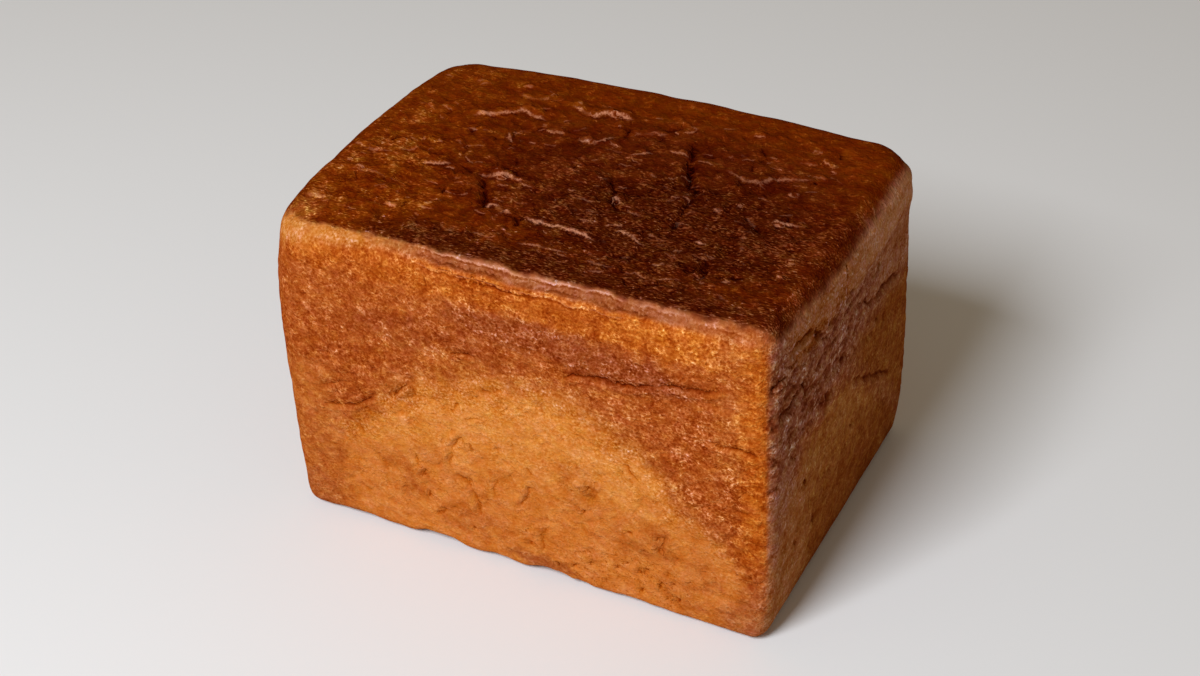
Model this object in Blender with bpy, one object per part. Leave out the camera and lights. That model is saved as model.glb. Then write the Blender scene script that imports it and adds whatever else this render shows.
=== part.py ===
"""A brioche loaf baked in a lidded tin: a square-shouldered block with a level top.

Metres, +Z up. X runs along the loaf, the front wall faces -Y, and the base is at z = 0.
The wrinkles, blisters and folds of the crust are relief in the one solid.
"""

import random

import bmesh
import bpy
import numpy as np
from mathutils import Vector, noise

MM = 0.001
NAME = "brioche_loaf"

# Driving sizes of the block
LENGTH = 170 * MM
DEPTH = 119.3 * MM
HEIGHT = 115.3 * MM
BASE_EDGE = 4 * MM
TOP_EDGE = 7.2 * MM
TOP_EDGE_SHAPE = 1.7

# Upright corners, as side of X and side of Y: radius at the base, radius at the top, droop of the top
CORNERS = {
    (-1, -1): (7.7 * MM, 16 * MM, 7.7 * MM),
    (1, -1): (4.3 * MM, 7.3 * MM, 0 * MM),
    (1, 1): (6.3 * MM, 12.5 * MM, 1.9 * MM),
    (-1, 1): (6 * MM, 11.4 * MM, 5.7 * MM),
}

# Walls: how far in each stands at the base, how far its middle stands out at the top,
# how far its belly stands out, and the share of the height where the belly is fullest
WALLS = {
    "left": (0.1 * MM, 1.5 * MM, 2.7 * MM, 0.72),
    "right": (2.1 * MM, 3.2 * MM, 3.4 * MM, 0.25),
    "front": (-1.4 * MM, 1.8 * MM, 1.4 * MM, 0.5),
    "back": (-0.3 * MM, 1.7 * MM, 2.2 * MM, 0.26),
}

# Soft waves of the whole crust: length and height
WAVES = ((42 * MM, 0.5 * MM), (17 * MM, 0.35 * MM), (8 * MM, 0.15 * MM))

# Raised rim round the top, and the band under it that the lid pressed out on the right and back
RIM_HEIGHT = 0.5 * MM
RIM_WIDTH = 3 * MM
FOLD_BAND = (94 * MM, 99 * MM, 109 * MM, 114 * MM)
FOLD_HEIGHT = 1.1 * MM
FOLD_STARTS = (-30 * MM, 40 * MM)

# Every wrinkle fades out towards its ends, and its lip lies beside the furrow
WRINKLE_FADE = 0.12
WRINKLE_END = 0.25
LIP_PLACE = 1.7

# Wrinkles of the walls that show most, in mm: half width, depth, lip, then points (across, up)
FRONT_WRINKLES = (
    (1.3, 0.9, 0.5, ((-20, 81), (-9, 85), (18, 83), (35, 86), (47, 88), (55, 91), (71, 94))),
    (1.3, 0.6, 0.5, ((64, 88), (72, 88), (81, 86))),
    (1.2, 0.6, 0.4, ((65, 74), (83, 74))),
    (1.3, 0.8, 0.5, ((-66, 45), (-54, 51), (-41, 58), (-32, 70))),
    (1.4, 0.6, 0.4, ((-70, 54), (-57, 59))),
    (1.5, 0.6, 0.5, ((-15, 50), (-22, 42), (-21, 31), (-14, 18))),
    (1.2, 0.5, 0.3, ((5, 37), (1, 25))),
    (1.1, 0.5, 0.3, ((-9, 69), (-1, 73))),
    (1.4, 0.7, 0.6, ((-28, 109), (8, 109.5), (44, 109))),
)
RIGHT_WRINKLES = (
    (1.4, 0.9, 0.5, ((-58, 103), (-36, 103), (-26, 95), (-18, 90))),
    (1.3, 0.8, 0.5, ((-58, 84), (-43, 86), (-37, 83))),
    (1.4, 0.9, 0.6, ((2, 89), (15, 82), (30, 79), (47, 75))),
    (1.3, 0.8, 0.5, ((1, 61), (14, 53), (34, 42), (44, 35))),
    (1.3, 0.8, 0.4, ((-28, 72), (-22, 65), (-17, 70))),
    (1.2, 0.6, 0.4, ((-9, 111), (-9, 106), (-14, 99))),
    (1.2, 0.6, 0.4, ((-10, 97), (3, 97))),
    (1.4, 0.7, 0.3, ((-29, 31), (-27, 24))),
)
TOP_WRINKLES = (
    (1.5, 0.7, 0.9, ((-47, 37), (-34, 38), (-17, 35), (-9, 38), (-3, 35))),
    (1.5, 0.7, 0.9, ((-55, 17), (-45, 24), (-41, 28), (-29, 25))),
    (1.4, 0.6, 0.7, ((-15, 17), (-6, 20), (-4, 27))),
    (1.4, 0.6, 0.7, ((36, 19), (48, 15), (54, 20), (65, 24))),
    (1.4, 0.6, 0.7, ((60, -4), (66, -3), (73, -2))),
    (1.4, 0.6, 0.7, ((-81, -13), (-72, -14), (-68, -12))),
    (1.4, 0.7, 0.9, ((-55, -15), (-45, -11), (-24, -11), (-17, -14))),
    (1.5, 0.8, 1.0, ((-24, -29), (-12, -32), (6, -31), (17, -33))),
    (1.4, 0.6, 0.8, ((20, -26), (30, -30), (44, -30), (53, -30))),
    (1.4, 0.5, 0.5, ((-53, -40), (-40, -41))),
    (1.5, 1.0, 0.2, ((21, 30), (24, 20), (30, 6), (35, 0), (32, -8), (33, -14))),
    (1.4, 0.8, 0.2, ((51, -2), (62, -13))),
    (1.4, 0.8, 0.2, ((-30, -17), (-26, -24), (-21, -34))),
    (1.3, 0.6, 0.2, ((53, -31), (54, -41))),
)

# Wrinkles of the two walls that are turned away, drawn at random, in mm
HIDDEN_SEED = 41
HIDDEN_COUNT = 11
HIDDEN_LENGTH = (12, 38)
HIDDEN_UP = (16, 104)
HIDDEN_SLOPE = 0.28
HIDDEN_KNOTS = (0, 0.35, 0.7, 1)
HIDDEN_WANDER = 1.5
HIDDEN_MARGIN = 8

# How far the waves of the dough push every wrinkle off its line
WARP = 1.6 * MM
WARP_LENGTH = 9 * MM

# Blisters, in mm: wall, place across and up, radius, height
BLISTERS = (
    ("front", 23, 43, 5, 0.9),
    ("front", 46, 28, 8, 0.8),
    ("front", -38, 50, 5, 0.6),
    ("front", -37, 81, 5, 0.6),
    ("top", 13, -10, 5, 0.9),
    ("top", -9, -17, 5, 0.8),
    ("top", 32, 11, 4, 0.8),
    ("top", -38, 16, 6, 0.6),
)

# Uneven lower edge of the front wall, in mm: place across, half width, lift
BASE_NOTCHES = ((-31, 8, 1.8), (-8, 5, 0.8), (13, 7, 1.6), (40, 5, 0.6))
NOTCH_DEPTH = (2 * MM, 9 * MM)
NOTCH_RISE = 12 * MM

# The relief starts clear of the flat base
RELIEF_STARTS = (0.5 * MM, 9 * MM)

CRUST_COLOUR = (0.36, 0.13, 0.03, 1)
CRUST_ROUGHNESS = 0.45

GRID_STEP = 1.7 * MM
MOST_TRIANGLES = 11000
FLAT_WITHIN = 0.12 * MM


def clear_scene():
    for obj in list(bpy.data.objects):
        bpy.data.objects.remove(obj, do_unlink=True)


def smooth_step(low, high, value):
    t = np.clip((value - low) / (high - low), 0, 1)
    return t * t * (3 - 2 * t)


def squeeze(across, up, power):
    """Scale that takes a square edge zone onto a rounded one."""
    largest = np.maximum(across, up)
    length = (across**power + up**power) ** (1 / power)
    inside = (across > 0) & (up > 0)
    return np.where(inside, largest / np.maximum(length, 1e-12), 1.0)


def by_corner(x, y, index):
    """One value of the corner that each point belongs to."""
    values = np.zeros(x.shape)
    for (side_x, side_y), entry in CORNERS.items():
        here = ((x >= 0) == (side_x > 0)) & ((y >= 0) == (side_y > 0))
        values[here] = entry[index]
    return values


def rounded_block(points):
    """Rounds the upright corners and the level edges of the plain block."""
    x, y, z = points.T
    height = z / HEIGHT
    base_radius = by_corner(x, y, 0)
    radius = base_radius + (by_corner(x, y, 1) - base_radius) * height**2
    core_x = np.clip(x, radius - LENGTH / 2, LENGTH / 2 - radius)
    core_y = np.clip(y, radius - DEPTH / 2, DEPTH / 2 - radius)
    out_x, out_y = x - core_x, y - core_y
    reach = np.maximum(np.abs(out_x), np.abs(out_y))
    turn = squeeze(np.abs(out_x), np.abs(out_y), 2)
    out_x, out_y = out_x * turn, out_y * turn
    for edge, up, power, sign, level in (
        (TOP_EDGE, z - (HEIGHT - TOP_EDGE), TOP_EDGE_SHAPE, 1, HEIGHT - TOP_EDGE),
        (BASE_EDGE, BASE_EDGE - z, 2, -1, BASE_EDGE),
    ):
        across = np.maximum(reach - (radius - edge), 0)
        up = np.maximum(up, 0)
        scale = squeeze(across, up, power)
        moved = reach - across + across * scale
        ratio = np.where(reach > 0, moved / np.maximum(reach, 1e-12), 1.0)
        out_x, out_y = out_x * ratio, out_y * ratio
        z = np.where(up > 0, level + sign * up * scale, z)
        reach = moved
    return np.stack([core_x + out_x, core_y + out_y, z], axis=1)


def wall_swell(toward, height, low_wall, high_wall):
    """How far the wall on either side swells out at each height, and how far its middle bows."""
    swell, bow = [], []
    for wall in (low_wall, high_wall):
        lean, middle, belly, fullest = WALLS[wall]
        share = height ** (np.log(0.5) / np.log(fullest))
        swell.append(belly * np.sin(np.pi * share) - lean * (1 - height))
        bow.append(middle * height**2)
    return np.where(toward > 0, swell[1], swell[0]), np.where(toward > 0, bow[1], bow[0])


def settled_block(points):
    """Adds the belly, the lean and bow of each wall, and the drooping corners of the top."""
    x, y, z = points.T.copy()
    height = np.clip(z / HEIGHT, 0, 1)
    u, v = x / (LENGTH / 2), y / (DEPTH / 2)
    swell_x, bow_x = wall_swell(u, height, "left", "right")
    swell_y, bow_y = wall_swell(v, height, "front", "back")
    droop = by_corner(x, y, 2) * u**2 * np.abs(v) ** 3 * height**6
    x += u * swell_x + np.sign(u) * u**4 * (1 - v**2) * bow_x
    y += v * swell_y + np.sign(v) * v**4 * (1 - u**2) * bow_y
    return np.stack([x, y, z - droop], axis=1)


def distance_to_line(u, v, line):
    """Signed distance to a line, positive on its left, and the place along it from 0 to 1."""
    corners = np.array(line) * MM
    steps = np.diff(corners, axis=0)
    lengths = np.hypot(steps[:, 0], steps[:, 1])
    starts = np.concatenate([[0], np.cumsum(lengths)])
    nearest = np.full(u.shape, np.inf)
    side = np.ones(u.shape)
    along = np.zeros(u.shape)
    for corner, step, length, start in zip(corners, steps, lengths, starts):
        t = ((u - corner[0]) * step[0] + (v - corner[1]) * step[1]) / length**2
        t = np.clip(t, 0, 1)
        gap_u, gap_v = u - corner[0] - t * step[0], v - corner[1] - t * step[1]
        gap = np.hypot(gap_u, gap_v)
        closer = gap < nearest
        nearest = np.where(closer, gap, nearest)
        side = np.where(closer, np.sign(step[0] * gap_v - step[1] * gap_u), side)
        along = np.where(closer, (start + t * length) / starts[-1], along)
    return nearest * side, along


def wrinkle(u, v, half_width, depth, lip, line):
    """A furrow with a raised lip on its lower side, fading out at both ends."""
    gap, along = distance_to_line(u, v, line)
    width = half_width * MM
    fade = np.clip(np.minimum(along, 1 - along) / WRINKLE_FADE, WRINKLE_END, 1)
    furrow = np.exp(-((gap / width) ** 2))
    ridge = np.exp(-((gap / width + LIP_PLACE) ** 2))
    return fade * MM * (lip * ridge - depth * furrow)


def hidden_wrinkles(half_length):
    """Random wrinkles for a wall that is turned away: mostly level, each a few points long."""
    made = []
    inside = half_length - HIDDEN_MARGIN
    for _ in range(HIDDEN_COUNT):
        length = random.uniform(*HIDDEN_LENGTH)
        across = random.uniform(-inside, inside - length)
        up = random.uniform(*HIDDEN_UP)
        slope = random.gauss(0, HIDDEN_SLOPE)
        line = []
        for knot in HIDDEN_KNOTS:
            wander = random.uniform(-HIDDEN_WANDER, HIDDEN_WANDER)
            line.append((across + length * knot, up + slope * length * knot + wander))
        made.append((random.uniform(1.3, 1.8), random.uniform(0.35, 0.65), 0.3, line))
    return made


def noise_at(points, length, offset):
    shift = Vector(offset)
    return np.array([noise.noise(Vector(p) / length + shift) for p in points])


def wall_views(points, normals):
    """For each wall: how far each point faces it, and its place across and up."""
    x, y, z = points.T
    facing = {
        "front": -normals[:, 1],
        "back": normals[:, 1],
        "left": -normals[:, 0],
        "right": normals[:, 0],
        "top": normals[:, 2],
    }
    place = {"front": (x, z), "back": (-x, z), "left": (-y, z), "right": (y, z), "top": (x, y)}
    return {wall: (smooth_step(0.55, 0.85, facing[wall]), *place[wall]) for wall in facing}


def crust_relief(points, normals):
    """Height of the crust over the plain form, along the normal."""
    relief = np.zeros(len(points))
    for index, (length, height) in enumerate(WAVES):
        relief += height * noise_at(points, length, (index * 7.3, 2.1, 5.9))
    warp_u = WARP * noise_at(points, WARP_LENGTH, (3.1, 8.2, 0.4))
    warp_v = WARP * noise_at(points, WARP_LENGTH, (9.4, 1.7, 6.6))
    views = wall_views(points, normals)
    random.seed(HIDDEN_SEED)
    wrinkles = {
        "front": FRONT_WRINKLES,
        "right": RIGHT_WRINKLES,
        "top": TOP_WRINKLES,
        "left": hidden_wrinkles(DEPTH / MM / 2),
        "back": hidden_wrinkles(LENGTH / MM / 2),
    }
    for wall, (facing, u, v) in views.items():
        for half_width, depth, lip, line in wrinkles[wall]:
            relief += facing * wrinkle(u + warp_u, v + warp_v, half_width, depth, lip, line)
    for wall, across, up, radius, height in BLISTERS:
        facing, u, v = views[wall]
        gap = np.hypot(u - across * MM, v - up * MM) / (radius * MM)
        relief += facing * height * MM * np.exp(-((1.6 * gap) ** 4))
    return relief + rim_and_fold(points, views, warp_u + warp_v)


def rim_and_fold(points, views, warp):
    """The raised rim round the top, and the band below it that the tin's lid pressed out."""
    x, y, z = points.T
    inward = np.minimum(LENGTH / 2 - np.abs(x), DEPTH / 2 - np.abs(y))
    rim = views["top"][0] * RIM_HEIGHT * np.exp(-((inward / RIM_WIDTH - 1) ** 2))
    low, full, fade, end = FOLD_BAND
    band = smooth_step(low, full, z + warp) * (1 - smooth_step(fade, end, z))
    walls = views["right"][0] * smooth_step(*FOLD_STARTS, y) + views["back"][0]
    return rim + FOLD_HEIGHT * band * walls


def base_lift(points):
    """Lift of the front wall's lower edge, where the crust stands clear of the table."""
    x, y, z = points.T
    full, end = NOTCH_DEPTH
    inward = y + DEPTH / 2
    near = (1 - smooth_step(full, end, inward)) * (1 - smooth_step(0, NOTCH_RISE, z))
    lift = np.zeros(len(points))
    for across, half_width, height in BASE_NOTCHES:
        lift += height * MM * np.exp(-(((x / MM - across) / half_width) ** 4))
    return near * lift


def subdivided_block():
    """A box whose edges are cut into equal steps along each axis."""
    mesh = bpy.data.meshes.new(NAME)
    bm = bmesh.new()
    bmesh.ops.create_cube(bm, size=1.0)
    bmesh.ops.scale(bm, vec=(LENGTH, DEPTH, HEIGHT), verts=bm.verts)
    bmesh.ops.translate(bm, vec=(0, 0, HEIGHT / 2), verts=bm.verts)
    for axis, size in enumerate((LENGTH, DEPTH, HEIGHT)):
        along = [e for e in bm.edges if abs((e.verts[0].co - e.verts[1].co)[axis]) > size / 2]
        cuts = round(size / GRID_STEP) - 1
        bmesh.ops.subdivide_edges(bm, edges=along, cuts=cuts, use_grid_fill=True)
    bm.to_mesh(mesh)
    bm.free()
    return mesh


def positions(mesh):
    points = np.empty(len(mesh.vertices) * 3, np.float32)
    mesh.vertices.foreach_get("co", points)
    return points.reshape(-1, 3).astype(np.float64)


def move_to(mesh, points):
    mesh.vertices.foreach_set("co", points.astype(np.float32).ravel())
    mesh.update()


def shape_crust(mesh):
    """Gives the block its rounded form and then its relief, keeping the base flat."""
    points = settled_block(rounded_block(positions(mesh)))
    move_to(mesh, points)
    normals = np.empty(len(points) * 3, np.float32)
    mesh.vertex_normals.foreach_get("vector", normals)
    normals = normals.reshape(-1, 3)
    off_base = smooth_step(*RELIEF_STARTS, points[:, 2])
    relief = crust_relief(points, normals) * off_base
    lift = base_lift(points)
    points = points + normals * relief[:, None]
    points[:, 2] += lift
    move_to(mesh, points)


def thinned_mesh(obj):
    """Fewer faces where the crust is smooth, and the base brought back to one plane at z = 0."""
    faces = sum(len(p.vertices) - 2 for p in obj.data.polygons)
    thin = obj.modifiers.new("thin", "DECIMATE")
    thin.ratio = MOST_TRIANGLES / faces
    graph = bpy.context.evaluated_depsgraph_get()
    mesh = bpy.data.meshes.new_from_object(obj.evaluated_get(graph))
    obj.modifiers.remove(thin)
    points = positions(mesh)
    points[:, 2] -= points[:, 2].min()
    points[points[:, 2] < FLAT_WITHIN, 2] = 0
    middle = (points.min(axis=0) + points.max(axis=0)) / 2
    points[:, :2] -= middle[:2]
    move_to(mesh, points)
    return mesh


def crust_material():
    material = bpy.data.materials.new("crust")
    material.use_nodes = True
    shader = material.node_tree.nodes["Principled BSDF"]
    shader.inputs["Base Color"].default_value = CRUST_COLOUR
    shader.inputs["Roughness"].default_value = CRUST_ROUGHNESS
    shader.inputs["Metallic"].default_value = 0
    return material


def build_loaf():
    parts = bpy.data.collections.new(NAME)
    bpy.context.scene.collection.children.link(parts)
    mesh = subdivided_block()
    loaf = bpy.data.objects.new(NAME, mesh)
    parts.objects.link(loaf)
    shape_crust(mesh)
    loaf.data = thinned_mesh(loaf)
    bpy.data.meshes.remove(mesh)
    loaf.data.name = NAME
    loaf.data.materials.append(crust_material())
    loaf.data.shade_smooth()


clear_scene()
build_loaf()
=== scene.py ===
import math
import random

import bmesh
import bpy
import numpy as np
from mathutils import Matrix, Vector, noise


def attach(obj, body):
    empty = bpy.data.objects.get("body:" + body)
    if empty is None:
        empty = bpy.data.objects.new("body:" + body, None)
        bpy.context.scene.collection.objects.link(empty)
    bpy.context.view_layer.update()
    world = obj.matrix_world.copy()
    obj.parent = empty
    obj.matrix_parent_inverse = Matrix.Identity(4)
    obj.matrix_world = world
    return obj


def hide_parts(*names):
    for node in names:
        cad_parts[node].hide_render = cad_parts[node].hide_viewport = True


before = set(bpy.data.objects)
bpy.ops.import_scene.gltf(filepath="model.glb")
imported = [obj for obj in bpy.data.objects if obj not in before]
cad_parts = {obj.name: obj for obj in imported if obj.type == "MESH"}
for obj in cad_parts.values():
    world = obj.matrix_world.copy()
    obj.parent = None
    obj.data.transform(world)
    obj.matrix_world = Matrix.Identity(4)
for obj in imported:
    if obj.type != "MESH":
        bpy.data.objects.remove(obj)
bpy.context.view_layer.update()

NODE = "brioche_loaf"
PIECE = "brioche_crust"
MM = 0.001

# Sizes of the block, in mm, as in the solid
LENGTH, DEPTH, HEIGHT = 170, 119.3, 115.3
BASE_EDGE, TOP_EDGE, TOP_EDGE_SHAPE = 4, 7.2, 1.7

# Upright corners, as side of X and side of Y: radius at the base, radius at the top, droop of the top
CORNERS = {
    (-1, -1): (7.7, 16, 7.7),
    (1, -1): (4.3, 7.3, 0),
    (1, 1): (6.3, 12.5, 1.9),
    (-1, 1): (6, 11.4, 5.7),
}

# Walls: how far in each stands at the base, how far its middle stands out at the top,
# how far its belly stands out, and the share of the height where the belly is fullest
WALLS = {
    "left": (0.1, 1.5, 2.7, 0.72),
    "right": (2.1, 3.2, 3.4, 0.25),
    "front": (-1.4, 1.8, 1.4, 0.5),
    "back": (-0.3, 1.7, 2.2, 0.26),
}

# Soft waves of the whole crust, and the finer waves of its skin: length, height
WAVES = ((42, 0.5), (17, 0.35), (8, 0.15))
SKIN_WAVES = ((4.2, 0.13), (2.3, 0.08))

# Raised rim round the top, and the band under it that the lid pressed out on the right and back
RIM_HEIGHT, RIM_WIDTH = 0.5, 3
FOLD_BAND = (94, 100, 106, 115)
FOLD_HEIGHT = 1.1
FOLD_STARTS = (-30, 40)

# Furrows of each wall: half width, depth, lip, darkness (of the painted shade along it and the painted
# highlight on its lip), then points across and up the wall
FRONT_FURROWS = (
    (1.1, 0.9, 0.6, 1, ((18, 82.5), (21, 84.3), (27, 86), (35, 86), (43, 87), (51, 89.6))),
    (1.1, 0.9, 0.6, 1, ((50, 89.4), (55, 91.3), (60, 91), (66, 91.8), (71, 94))),
    (0.9, 0.5, 0.3, 0.7, ((-20, 80.8), (-15, 82), (-10, 81.6))),
    (1.2, 0.5, 0.7, 0.2, ((64, 88.5), (67, 88.4), (72.5, 87.8), (80, 86))),
    (1, 0.6, 0.5, 0.8, ((65, 74.2), (72, 74.4), (82.5, 74))),
    (0.9, 0.8, 0.6, 0.8, ((-70, 46), (-60, 49), (-55, 51), (-52, 53), (-48, 56))),
    (0.9, 0.8, 0.6, 0.8, ((-42.5, 57.5), (-40, 60), (-38, 62), (-36, 65))),
    (1.3, 0.6, 0.4, 0.5, ((-70, 54), (-64, 56.5), (-57.5, 59))),
    (1, 0.6, 0.5, 0.8, ((-20.6, 58.4), (-19, 61), (-17.5, 64))),
    (0.9, 0.4, 0.3, 0.5, ((-16.3, 56.5), (-10, 59.6))),
    (1.2, 0.5, 0.3, 0.4, ((-8.8, 69), (-5, 71), (-1.3, 72.8))),
    (1, 0.8, 0.8, 0.5, ((-15, 50), (-19, 48), (-22, 43), (-23, 38), (-22, 33))),
    (0.9, 0.6, 0.5, 0.45, ((-15, 48), (-14, 44.5))),
    (1.3, 1, 0.9, 0.5, ((-22, 33), (-17, 31), (-16, 27), (-14, 23), (-14, 17.5))),
    (0.9, 0.6, 0.5, 0.4, ((4.5, 44.5), (6, 41))),
    (1, 0.7, 0.6, 0.4, ((6, 36.5), (4, 32), (2, 27))),
    (1.8, 0.7, 0.5, 0.3, ((-51.5, 32), (-50, 29), (-48.5, 25))),
    (1.3, 0.8, 0.6, 0.5, ((-32.5, 31.5), (-34.5, 26.5))),
    (1, 0.4, 0.3, 0.5, ((-36.5, 36.5), (-35.5, 31.5))),
    (0.9, 0.4, 0.3, 0.6, ((-32.5, 22), (-33, 19.5))),
    (1.4, 0.5, 0.4, 0.4, ((-57, 44), (-55, 38))),
    (1.2, 0.5, 0.4, 0.4, ((-6, 36), (-8, 31), (-7, 27))),
    (1.3, 0.5, 0.4, 0.4, ((-26, 17), (-30, 12))),
    (1.2, 0.4, 0.3, 0.4, ((10, 22), (8, 15), (8.5, 10))),
    (1.2, 0.6, 0.3, 0.5, ((38.8, 57.8), (40.6, 55.3), (43.8, 51.5))),
    (0.9, 0.4, 0.2, 0.8, ((-27.5, 109), (-26.5, 106.5), (-26.3, 103.5))),
    (1.1, 0.6, 0.4, 0.4, ((49, 26), (52, 30), (53, 35))),
    (1, 0.6, 0.4, 0.45, ((27.5, 44), (28.5, 46), (31, 48))),
)
RIGHT_FURROWS = (
    (1.4, 1, 0.6, 1.3, ((-50, 101.5), (-44, 103.3), (-36, 102.6), (-32, 100.5))),
    (2, 1.3, 0.5, 1.6, ((-32, 101), (-30, 99), (-28, 96.5))),
    (1.3, 0.9, 0.4, 1, ((-29, 98), (-25.6, 94), (-18, 90))),
    (1, 0.4, 0.3, 0.5, ((-49, 101.8), (-36.7, 96.8), (-25.6, 90.7))),
    (1.8, 1.2, 0.6, 1.6, ((-57, 83), (-53, 84.5), (-47, 84), (-41, 85.2))),
    (1.2, 0.8, 0.5, 1.2, ((-58, 96), (-54, 97), (-50, 96))),
    (1.8, 1.1, 0.5, 1.6, ((-38.5, 88), (-37.6, 86), (-36.7, 83.4))),
    (1.4, 1, 0.6, 1.2, ((2, 89), (7.8, 86), (15, 81.8), (22, 80), (30, 79), (42, 75.7), (47, 75))),
    (1.3, 0.8, 0.5, 0.9, ((1, 61), (7.8, 57.3), (14.4, 53.4), (24.4, 47.3), (34.4, 41.8), (44, 35))),
    (2.2, 1, 0.5, 1.4, ((-26, 71), (-21, 65.5), (-17, 70))),
    (2.4, 0.8, 0.5, 1.2, ((-14, 78), (-10, 76.5), (-7, 74))),
    (1.2, 0.6, 0.4, 0.8, ((-9, 111), (-9.4, 105.7), (-14.4, 99))),
    (1.2, 0.6, 0.4, 0.7, ((-10, 96.8), (-3, 97.3), (2.8, 96.8))),
    (1.1, 0.5, 0.3, 0.6, ((-16.7, 78.4), (-12, 75), (-8.3, 74))),
    (1.6, 0.9, 0.4, 1.5, ((-27.5, 30), (-26.5, 27), (-25, 23.5))),
    (1.5, 0.8, 0.5, 1.5, ((-37, 49.5), (-35, 46.5))),
    (1.4, 0.6, 0.4, 1.2, ((3, 43), (5, 40))),
    (1.4, 0.6, 0.4, 1.2, ((-17, 38), (-13, 34.5))),
    (1.2, 0.5, 0.4, 1, ((-44, 30), (-41, 26))),
    (1.3, 0.6, 0.4, 1, ((21, 72.5), (24, 70.5))),
    (1.3, 0.6, 0.4, 0.9, ((29, 68), (32, 64.5))),
    (1.4, 0.6, 0.4, 0.8, ((20, 92), (27, 90))),
    (1.3, 0.5, 0.4, 0.8, ((-48, 66), (-44, 62))),
    (1.3, 0.5, 0.4, 0.8, ((36, 30), (39, 24))),
    (1.1, 0.5, 0.3, 0.6, ((-62, 59.6), (-55.6, 60))),
    (1.1, 0.4, 0.3, 0.5, ((14, 91), (20, 90), (25, 91))),
    (1.1, 0.4, 0.3, 0.4, ((8, 72), (14, 69), (20, 68))),
)
BROW_FURROWS = (
    (1, 0.5, 0.2, 0.7, ((-32, -2.2), (-20, -2.5), (-6, -2.7), (10, -2.7))),
    (1, 0.4, 0.2, 0.6, ((8, -2.7), (30, -2.5), (52, -2.6))),
    (0.8, 0.3, 0.2, 0.6, ((-24, -5.4), (-12, -5.8), (2, -5.7), (12, -5.9))),
)
TOP_FURROWS = (
    (1.9, 1.4, 0.3, 1.6, ((20.6, 31), (22.5, 25), (23.8, 20), (27, 12.5), (30, 6.3), (35, 0))),
    (1.5, 1.1, 0.3, 1.2, ((35, 0), (33.5, -7.5), (35, -13), (35.5, -20))),
    (1.5, 1.1, 0.3, 1.2, ((51.3, -2), (56.3, -7.5), (62.5, -13))),
    (1.9, 1.4, 0.3, 1.5, ((-31, -15), (-28, -20), (-25.6, -24.4), (-22, -32.5))),
    (1.4, 1, 0.3, 1.2, ((53, -30.6), (53.5, -35), (54.4, -41))),
    (1.4, 0.9, 0.3, 1.3, ((-10, -32.5), (-7, -38))),
    (1.3, 0.8, 0.3, 1.1, ((-2.5, 31), (-2, 23.8))),
    (1.3, 0.9, 0.4, 1.1, ((6, 0), (10, -7), (13, -13), (17, -17))),
    (1.1, 0.8, 0.3, 1.3, ((64, 22.5), (66.5, 22.5))),
    (1.1, 0.5, 0.3, 0.6, ((-37, 15), (-34, 8), (-32, 4))),
)

# Folds of glossy skin on the top: half width, height, sheen (strength of the painted highlight on the crest
# and painted shade at the foot), then points along and across
FOLDS = (
    (1.1, 0.6, 0.45, ((-47.5, 37), (-41, 37.5), (-37, 39), (-34, 37.8))),
    (1.4, 0.9, 1, ((-27.5, 38), (-22.5, 36.5), (-17, 35), (-13.8, 37.3), (-8.8, 37.8), (-3, 35.6))),
    (1.3, 0.8, 0.9, ((-55, 17.5), (-51, 20), (-45, 23.8), (-41, 28), (-35, 27), (-28.8, 25))),
    (1.1, 0.6, 0.8, ((-27.5, 18.8), (-20, 19.4))),
    (1.1, 0.6, 0.7, ((-15, 17), (-8.8, 18.8), (-5.6, 22), (-4.4, 25))),
    (0.9, 0.4, 0.5, ((-2, 16.3), (2, 16))),
    (1.1, 0.5, 0.5, ((-1.3, 28.8), (5, 30.6), (11.3, 31.3))),
    (1, 0.5, 0.7, ((14.4, 22.8), (18.8, 23), (23, 22.5))),
    (1.1, 0.6, 0.6, ((36.3, 18.8), (38.8, 17), (43.8, 15), (48.8, 15.6), (52.5, 20), (65, 24.4))),
    (0.9, 0.5, 0.7, ((42.5, -4.4), (47, -5.6))),
    (1.1, 0.6, 0.9, ((62, -3.8), (64.4, -4.4), (67.5, -2.5), (72.5, -2))),
    (1.2, 0.6, 0.6, ((-80.6, -13), (-76, -13), (-72.5, -14), (-68.8, -12.5))),
    (1.5, 0.8, 0.9, ((-54.4, -15), (-51, -13), (-45, -11.3))),
    (1.5, 0.9, 0.9, ((-35, -13.8), (-30, -12.5), (-24.4, -11.3), (-20, -13), (-17.5, -13.8))),
    (1.1, 0.7, 0.9, ((-23.8, -29.4), (-19.4, -28.8), (-15, -30.6), (-12, -32))),
    (0.95, 0.7, 1, ((-8, -32), (0, -31.8), (9, -32.6), (19, -34))),
    (1, 0.6, 0.8, ((20, -26.3), (24, -27), (28, -28.5), (33, -32))),
    (0.9, 0.5, 0.8, ((41, -30), (44, -29.2))),
    (0.9, 0.4, 0.5, ((47, -29.6), (51, -29.4), (53, -30))),
    (0.9, 0.4, 0.7, ((-53, -39.4), (-47.5, -40.6))),
    (1, 0.5, 0.5, ((-81, -42.5), (-76, -43), (-70, -43))),
    (0.8, 0.4, 0.7, ((-2.5, -45.6), (2.5, -44.4), (9, -44), (15, -44.4))),
    (0.8, 0.4, 0.5, ((20, -45.6), (30, -45))),
    (0.9, 0.4, 0.5, ((1.3, -15.6), (8.8, -15))),
    (0.9, 0.4, 0.5, ((18.8, -15.6), (26.3, -17))),
    (1, 0.4, 0.4, ((-74, -27), (-66, -26), (-58, -28))),
    (1, 0.5, 0.8, ((53, -3), (56, -6), (58.5, -8.5))),
    (0.9, 0.5, 0.8, ((10.5, -8.5), (13, -10), (16, -12.5))),
    (0.8, 0.4, 0.6, ((-18, -46), (-13, -45.6), (-9, -46.3))),
)
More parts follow.
